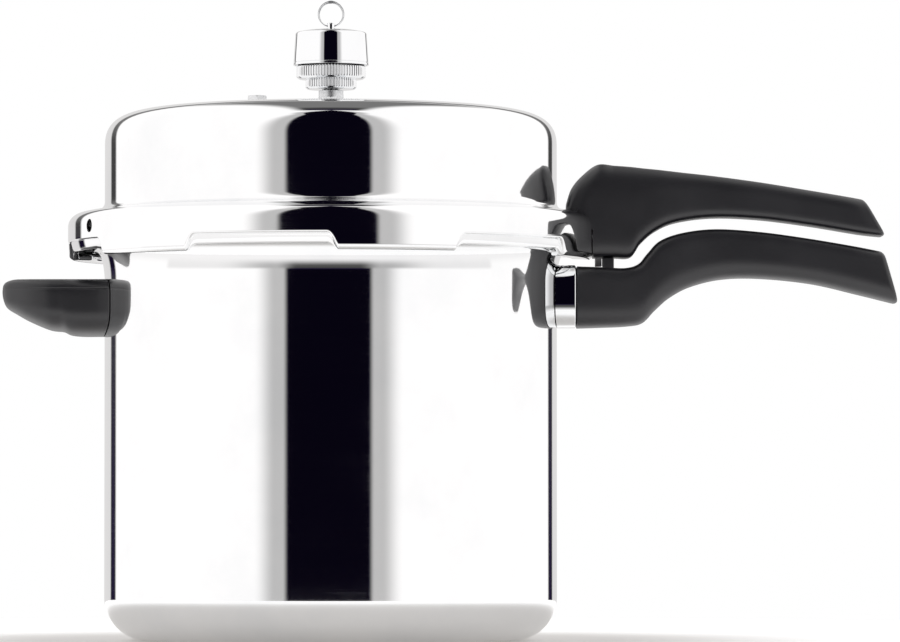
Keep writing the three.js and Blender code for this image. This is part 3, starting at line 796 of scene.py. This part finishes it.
def grip_points(stations, powers, rows=150, around=224, root=0.5, tip=2.0, groove=None):
    """Points: middle plus half the height by sine, and half the width by cosine, both powered."""
    first, last = np.array(stations[0]), np.array(stations[-1])
    length = np.linalg.norm((first[:2] + first[2:4] - last[:2] - last[2:4]) / 2)
    place, inset = rounded_ends(rows, length, root, tip)
    station = through(stations, place)
    top, bottom, half_width = station[:, 0:2], station[:, 2:4], station[:, 4]
    half_height = np.linalg.norm(top - bottom, axis=1) / 2
    tall = np.maximum(1 - inset / half_height, 0)[:, None]
    wide = np.maximum(1 - inset / half_width, 0)[:, None]
    angle = np.linspace(0, TURN, around, endpoint=False)
    power = np.where(np.sin(angle) > 1e-9, powers[0], powers[1])
    up = tall * np.sign(np.sin(angle)) * np.abs(np.sin(angle)) ** (2 / power)
    across = wide * np.sign(np.cos(angle)) * np.abs(np.cos(angle)) ** (2 / power)
    middle, half = (top + bottom) / 2, (top - bottom) / 2
    x = middle[:, :1] + up * half[:, :1]
    z = middle[:, 1:] + up * half[:, 1:]
    y = across * half_width[:, None]
    if groove:
        y = y * (1 - groove[1] * np.exp(-(((z - groove[0]) / 0.4) ** 2)))
    return np.stack([x, y, z], axis=-1)


def seated(points, radius_at, side):
    """Points nearer the axis than radius_at(height) are moved out along X until they lie on that wall."""
    least = np.sqrt(np.maximum(radius_at(points[..., 2]) ** 2 - points[..., 1] ** 2, 0))
    points = points.copy()
    points[..., 0] = side * np.maximum(side * points[..., 0], least)
    return points


def block(x, y, z, ease=0.5, power=9, around=64):
    """An upright block with rounded corners: a powered circle, drawn in at the top and bottom."""
    angle = np.linspace(0, TURN, around, endpoint=False)
    quarter = np.linspace(0, np.pi / 2, 6)
    late, early = ease * (1 - np.cos(quarter)), ease * (1 - np.sin(quarter))
    height = np.concatenate([[z[0]], z[0] + late, z[1] - early, [z[1]]])
    inset = np.concatenate([[np.inf], early, late, [np.inf]])[:, None]
    half_x, half_y = (x[1] - x[0]) / 2, (y[1] - y[0]) / 2
    wide = np.maximum(half_x - inset, 0) * np.sign(np.cos(angle)) * np.abs(np.cos(angle)) ** (2 / power)
    deep = np.maximum(half_y - inset, 0) * np.sign(np.sin(angle)) * np.abs(np.sin(angle)) ** (2 / power)
    return np.stack([(x[0] + x[1]) / 2 + wide, (y[0] + y[1]) / 2 + deep, height[:, None] + 0 * wide], axis=-1)


# %% Walls that the grips sit against
CLEAR = 0.3
pan_wall = bend((PAN_R, 174), (PAN_R, 181), (111.6, RIM_LOW), (114.3, RIM_LOW), 16)
lid_wall = np.concatenate([lid_upper()[-26:], [(BAND_R, 180)]])[::-1]


def pan_wall_at(height):
    return np.interp(height, pan_wall[:, 1], pan_wall[:, 0]) + CLEAR


def lid_wall_at(height):
    return np.interp(height, lid_wall[:, 1], lid_wall[:, 0]) + CLEAR


# %% Make the two long grips
STOP_X = (131.9, 137.5)
LID_GRIP = [
    (114.6, 212.5, 114.6, 185.9, 14),
    (117, 219.5, 117, 185.9, 15.2),
    (122, 225.6, 122, 185.9, 16),
    (129.7, 231.2, 130, 185.9, 16),
    (138, 230.8, 138, 185.9, 16),
    (146, 230.2, 145.8, 186.3, 16),
    (152, 229.5, 150.6, 192.7, 15.8),
    (160, 228.7, 157.7, 198.8, 15.5),
    (171, 227.4, 168, 203.2, 15),
    (187, 225.6, 186, 205.5, 14.5),
    (209, 222.6, 209, 204.6, 14.5),
    (231, 219, 234, 201.4, 14.8),
    (250, 215.8, 257, 197.6, 15),
    (259.2, 214.1, 269.6, 196.2, 14),
]
lid_grip = seated(grip_points(LID_GRIP, (4, 7), rows=190), lid_wall_at, 1)
foot = block(STOP_X, (-8.7, -3), (181.6, 188))
piece = surface("lid_grip_moulded", [lid_grip, foot], crease=40)
hand_over(piece, "lid", resin, "black_resin", "lid_handle_grip")

PAN_GRIP = [
    (119.5, 181.6, 119.5, 151.6, 16.4),
    (132, 181.2, 132, 152, 16.3),
    (143, 180.8, 144, 152.6, 16),
    (149.5, 182.8, 151.6, 154.2, 15.8),
    (154, 188, 157.7, 160.3, 15.6),
    (160, 194, 165, 166.6, 15.3),
    (171, 197.9, 175, 171.8, 15),
    (186.9, 199.7, 190, 175.4, 14.6),
    (208, 198.4, 209, 175.8, 14.6),
    (231, 195.3, 234, 173.2, 14.9),
    (253, 191.6, 257, 167.9, 15.2),
    (268.6, 188.6, 275.9, 163.2, 14.2),
]
pan_grip = grip_points(PAN_GRIP, (7, 3.4), rows=170)
stop = block(STOP_X, (-13, -9), (178, 185.5))
piece = surface("pan_grip_moulded", [pan_grip, stop], crease=40)
hand_over(piece, "pan", resin, "black_resin", "pan_handle_grip")

# %% Make the side grip
SIDE_GRIP = [
    (-104, 175.2, -104, 147.6, 30),
    (-112, 175.2, -112, 147.6, 28.6),
    (-120.5, 175.2, -120.5, 147.6, 28),
    (-127, 175.2, -126.2, 148.2, 27.8),
    (-131, 175.2, -130, 149.8, 27.6),
    (-138, 175.2, -136.5, 150.7, 27),
    (-147, 175.2, -146, 154.6, 24.5),
    (-153.5, 175, -152.5, 158.2, 20.8),
    (-157.6, 173.6, -156.8, 160.9, 17),
    (-159.4, 171, -158.9, 164.2, 13),
]
side_grip = grip_points(SIDE_GRIP, (6, 2.8), rows=110, around=320, tip=3.2, groove=(170.3, 0.012))
piece = surface("side_grip_moulded", seated(side_grip, pan_wall_at, -1), crease=40)
hand_over(piece, "pan", resin, "black_resin", "side_handle_grip")

# %% [markdown]
# ## The ferrule
# A bright sleeve hides the bracket between the pan and its long grip. It is drawn from sheet, so it has an
# inside as well: the same rounded section carried out along +X, round the edge, and back a little smaller.


# %% Make the ferrule
def sleeve(rows):
    """Sections of (x, inset) rows: the rounded box of the grip's root, drawn in by inset all round."""
    x = rows[:, :1]
    inset = rows[:, 1:]
    angle = np.linspace(0, TURN, 256, endpoint=False)
    power = np.where(np.sin(angle) > 1e-9, 6, 3.4)
    up = np.sign(np.sin(angle)) * np.abs(np.sin(angle)) ** (2 / power)
    across = np.sign(np.cos(angle)) * np.abs(np.cos(angle)) ** (2 / power)
    y = (16.8 - inset) * across
    z = 167 + (15.2 - inset) * up
    return np.stack([x + 0 * y, y, z], axis=-1)


sleeve_rows = np.concatenate(
    [
        line((107, 0), (118.4, 0), 30),
        arc(118.4, 0, 0.65, 90, 0, 6) * (1, -1) + (0, 0.65),
        line((119.05, 0.9), (119.05, 1.2)),
        line((118.6, 1.3), (107, 1.3), 20),
    ]
)
ferrule = seated(sleeve(sleeve_rows), pan_wall_at, 1)
piece = surface("pan_ferrule_drawn", ferrule, loop_rows=True)
hand_over(piece, "pan", chrome, "bright_chrome", "pan_handle_ferrule")

# %% [markdown]
# ## Rivets
# The brackets are riveted through the wall, and the heads show inside the pan and inside the band. A rivet
# is a small turned profile laid along a radius of the cooker: low domes on both sides of a shank.


# %% Make the rivets
def along_radius(points, angle, height):
    """Turns a shape about +Z into one about the radius at an angle, at a height: its +Z runs outwards."""
    x, y, z = points[..., 2], points[..., 1], -points[..., 0]
    a = np.radians(angle)
    return np.stack([x * np.cos(a) - y * np.sin(a), x * np.sin(a) + y * np.cos(a), z + height], axis=-1)


def rivet_profile(start, stop, shank, head, rise_in, rise_out):
    """Axis to axis along the rivet: a dome, the shank, and a smaller dome. Each dome is half an ellipse."""
    dome = np.linspace(np.pi / 2, 0, 8)
    low = np.stack([head * np.cos(dome), start - rise_in * np.sin(dome)], axis=1)
    high = np.stack([0.9 * head * np.cos(dome), stop + rise_out * np.sin(dome)], axis=1)[::-1]
    return np.concatenate([low, line((shank, start), (shank, stop)), high])


WALL_RIVETS = {
    "pan_handle_rivet_1": (-5.4, 174),
    "pan_handle_rivet_2": (5.4, 174),
    "pan_handle_rivet_3": (0, 159.6),
    "side_handle_rivet_1": (174.4, 160.8),
    "side_handle_rivet_2": (185.6, 160.8),
}
for node, (angle, height) in WALL_RIVETS.items():
    profile = rivet_profile(PAN_IN - CLEAR, PAN_R + 2.6, 2.2, 4.4, 1.3, 1.2)
    made = surface(node + "_headed", along_radius(revolved(profile, 48), angle, height), crease=50)
    hand_over(made, "pan", steel, "plain_steel", node)

LID_RIVETS = {"lid_handle_rivet_1": -4.93, "lid_handle_rivet_2": 4.93}
for node, angle in LID_RIVETS.items():
    profile = rivet_profile(124.9, 130.6, 2, 3.4, 0.4, 1.1)
    made = surface(node + "_headed", along_radius(revolved(profile, 48), angle, 196.5), crease=50)
    hand_over(made, "lid", steel, "plain_steel", node)

# %% [markdown]
# ## Pieces kept from the CAD model
# The brackets, screws, nuts, washers and the parts inside the weight are already the right shape, and hardly
# show. They keep their CAD solids and only get their finish.

# %% Finish the CAD pieces
KEPT = {
    "pan_handle_bracket": steel,
    "pan_handle_screw": steel,
    "pan_handle_nut": steel,
    "side_handle_bracket": steel,
    "side_handle_screw": steel,
    "side_handle_nut": steel,
    "lid_handle_bracket": steel,
    "lid_handle_screw": steel,
    "lid_handle_nut": steel,
    "vent_pipe_washer": rubber,
    "vent_pipe_nut": brass,
    "safety_plug_core": alloy,
    "safety_plug_washer": rubber,
    "safety_plug_nut": brass,
    "weight_post": chrome,
    "weight_spring_clip": steel,
    "weight_pin": steel,
}
for node, finish in KEPT.items():
    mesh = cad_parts[node].data
    mesh.materials.clear()
    mesh.materials.append(finish.material)
print(len(KEPT), "CAD pieces finished")

# %% [markdown]
# ## The room
# Polished metal shows its room, so the room is made first and the lights come with it. Two white screens
# stand left and right and lean together overhead. Between them are a black gap towards the camera, a grey
# slit above and behind, and low down behind a pale backdrop in a dark arched frame. Well below the horizon
# the room is as white as the floor. A world shader gives all of this without any panels to place: brightness
# is a function of direction. The camera itself sees plain white.


# %% The room as a function of direction
def make_room():
    """Brightness by direction: x is to the right, -y to the camera, z up. bearing is |sin| of azimuth."""
    world = bpy.data.worlds.new("studio_room")
    world.use_nodes = True
    world.node_tree.nodes.clear()
    any_node = Signal(world.node_tree)
    way = any_node.node("ShaderNodeTexCoord", {}, output="Generated")
    x, y, z = (way.part(i) for i in range(3))
    aside = any_node.maths("ABSOLUTE", x)
    level_length = any_node.maths("SQRT", x * x + y * y + 1e-6)
    bearing = any_node.maths("DIVIDE", aside, level_length)

    # In front: how far a direction is beside the black gap, which is wider overhead. Each screen has a
    # grey border of half its brightness, and under the horizon the gap and the borders are softer.
    gap = 0.372 + z.eased_between(0.9, 0.99) * 0.2
    beside = bearing - gap
    border, lower_border = 0.56, 0.42
    front = beside.eased_between(-0.03, 0.02) * border + beside.eased_between(0.08, 0.25) * border + 0.003
    lower = beside.eased_between(-0.1, 0.08) * lower_border
    lower = lower + beside.eased_between(0.1, 0.5) * lower_border + 0.08
    below = 1 - z.eased_between(-0.11, -0.05)
    front = (1 - below) * front + below * lower

    # Behind: an elliptical arch, a little to the left, with a dark frame and a pale backdrop inside.
    across, rise = (x + 0.048) * (1 / 0.528), z * (1 / 0.4)
    arch = any_node.maths("SQRT", across * across + rise * rise)
    frame_line = arch.eased_between(0.84, 0.92) * (1 - arch.eased_between(1.08, 1.16))
    within = 1 - arch.eased_between(0.95, 1.05)
    slit = (1 - aside.eased_between(0.1, 0.19)) * z.eased_between(0.42, 0.5)
    slit_light = 0.2 - z.eased_between(0.92, 0.99) * 0.16
    back = within * 0.76 + (1 - within) * 1.12
    back = back * (1 - frame_line) + frame_line * any_node.maths("MAXIMUM", z * 0.5 + 0.03, 0.01)
    back = back * (1 - slit) + slit * slit_light

    behind = y.eased_between(-0.03, 0.03)
    shown = z.eased_between(-0.3, -0.12)
    level = 1 - shown + shown * (behind * back + (1 - behind) * front)
    tinted = any_node.node(
        "ShaderNodeMix",
        {0: level.eased_between(0.005, 0.06), 6: (0.7, 0.45, 1.8, 1), 7: (1, 0.985, 0.98, 1)},
        output=2,
        data_type="RGBA",
    )
    seen = any_node.node("ShaderNodeLightPath", {}, output="Is Camera Ray")
    lit = any_node.node("ShaderNodeBackground", {"Color": tinted, "Strength": level})
    plain = any_node.node("ShaderNodeBackground", {"Color": (1, 1, 1, 1), "Strength": 1.0})
    shade = any_node.node("ShaderNodeMixShader", {0: seen, 1: lit, 2: plain})
    any_node.node("ShaderNodeOutputWorld", {"Surface": shade})
    bpy.context.scene.world = world


make_room()

# %% [markdown]
# ## The floor and the camera
# The floor is a pale disc with a painted contact shadow: its glow is painted dimmer close to the pan, and
# further out it glows enough to meet the white behind it without a line. The camera stands low and
# far away with a long lens, as for a catalogue, so that the pan's sides stay parallel.


# %% Floor
def make_floor(reach=0.55):
    """A disc: rows of growing radius about the axis, just under the base. Its glow is painted dimmer close to
    the pan, a painted shadow.
    """
    radius = reach * np.linspace(0, 1, 40) ** 2 / MM
    points = round_axis(radius, 0 * radius - 0.05, 96)
    rim = round_axis(radius[::-1], 0 * radius - 1.0, 96)
    floor = surface("studio_floor", np.concatenate([points, rim]))
    made = Finish("floor_finish", Roughness=0.8)
    paper = made.noise(0.4, detail=3)
    painted_shadow_radius = made.radius()
    # Painted contact shadow: the emission is dim within 0.13 m of the axis and full beyond 0.28 m, so the
    # floor looks shaded round the pan.
    made.feed(
        Base_Color=made.tint((0.52, 0.515, 0.51), (0.56, 0.555, 0.55), paper),
        Emission_Color=made.tint((0.24, 0.23, 0.22), (0.66, 0.66, 0.66), painted_shadow_radius.eased_between(0.13, 0.28)),
    )
    made.shader.inputs["Emission Strength"].default_value = 1.0
    floor.data.materials.append(made.material)


make_floor()


# %% Camera
CAMERA = (0.058, -2.9, 0.068)
AIM = (0.058, 0, 0.1553)
LENS = 238.3

camera_data = bpy.data.cameras.new("camera")
camera_data.lens = LENS
camera_data.sensor_width = 36
camera_data.clip_end = 50
camera = bpy.data.objects.new("camera", camera_data)
camera.location = CAMERA
camera.rotation_euler = (np.pi / 2 + np.arctan2(AIM[2] - CAMERA[2], AIM[1] - CAMERA[1]), 0, 0)
bpy.context.scene.collection.objects.link(camera)
bpy.context.scene.camera = camera
bpy.context.scene.view_settings.view_transform = "Standard"
bpy.context.scene.view_settings.look = "None"
print("camera at", CAMERA, "with a", LENS, "mm lens")
